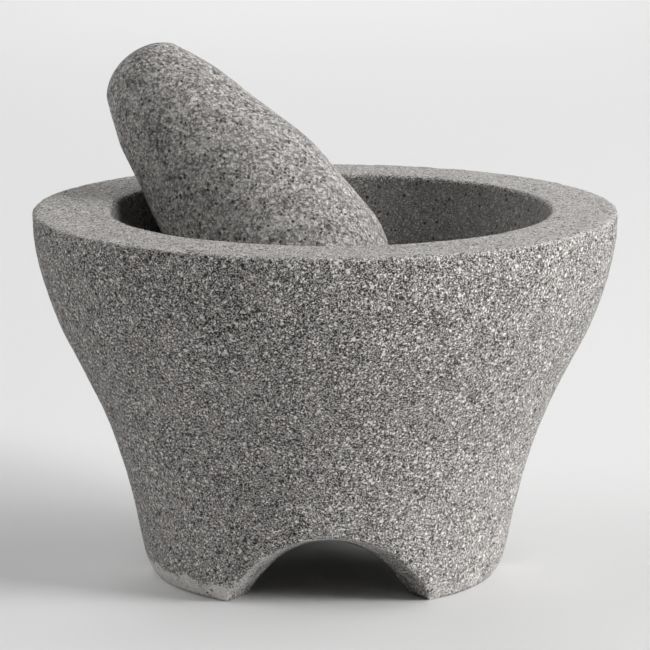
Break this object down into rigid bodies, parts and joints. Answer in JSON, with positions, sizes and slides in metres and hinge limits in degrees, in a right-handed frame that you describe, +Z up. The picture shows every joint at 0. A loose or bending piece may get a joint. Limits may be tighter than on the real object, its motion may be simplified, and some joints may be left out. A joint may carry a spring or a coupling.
{
  "type": "molcajete",
  "caption": "Flared stone mortar with a flat rim, a round grinding hollow and arched feet, with an egg-shaped stone pestle leaning in it.",
  "frame": {"origin": "middle of the bowl's rim circle, on the surface that the feet stand on", "axes": "+Z up, -Y towards the front, where one of the arches opens, and +X to the right as seen from the front"},
  "size_m": [0.2032, 0.2032, 0.1811],
  "materials": {
    "bowl_stone": "matte",
    "pestle_stone": "matte"
  },
  "bodies": {
    "bowl": {"bowl": "bowl_stone"},
    "pestle": {"pestle": "pestle_stone"}
  },
  "joints": [
    {"name": "pestle_lift", "type": "slide", "parent": "bowl", "child": "pestle", "axis": [0, 0, 1], "range_m": [0, 0.12]}
  ]
}
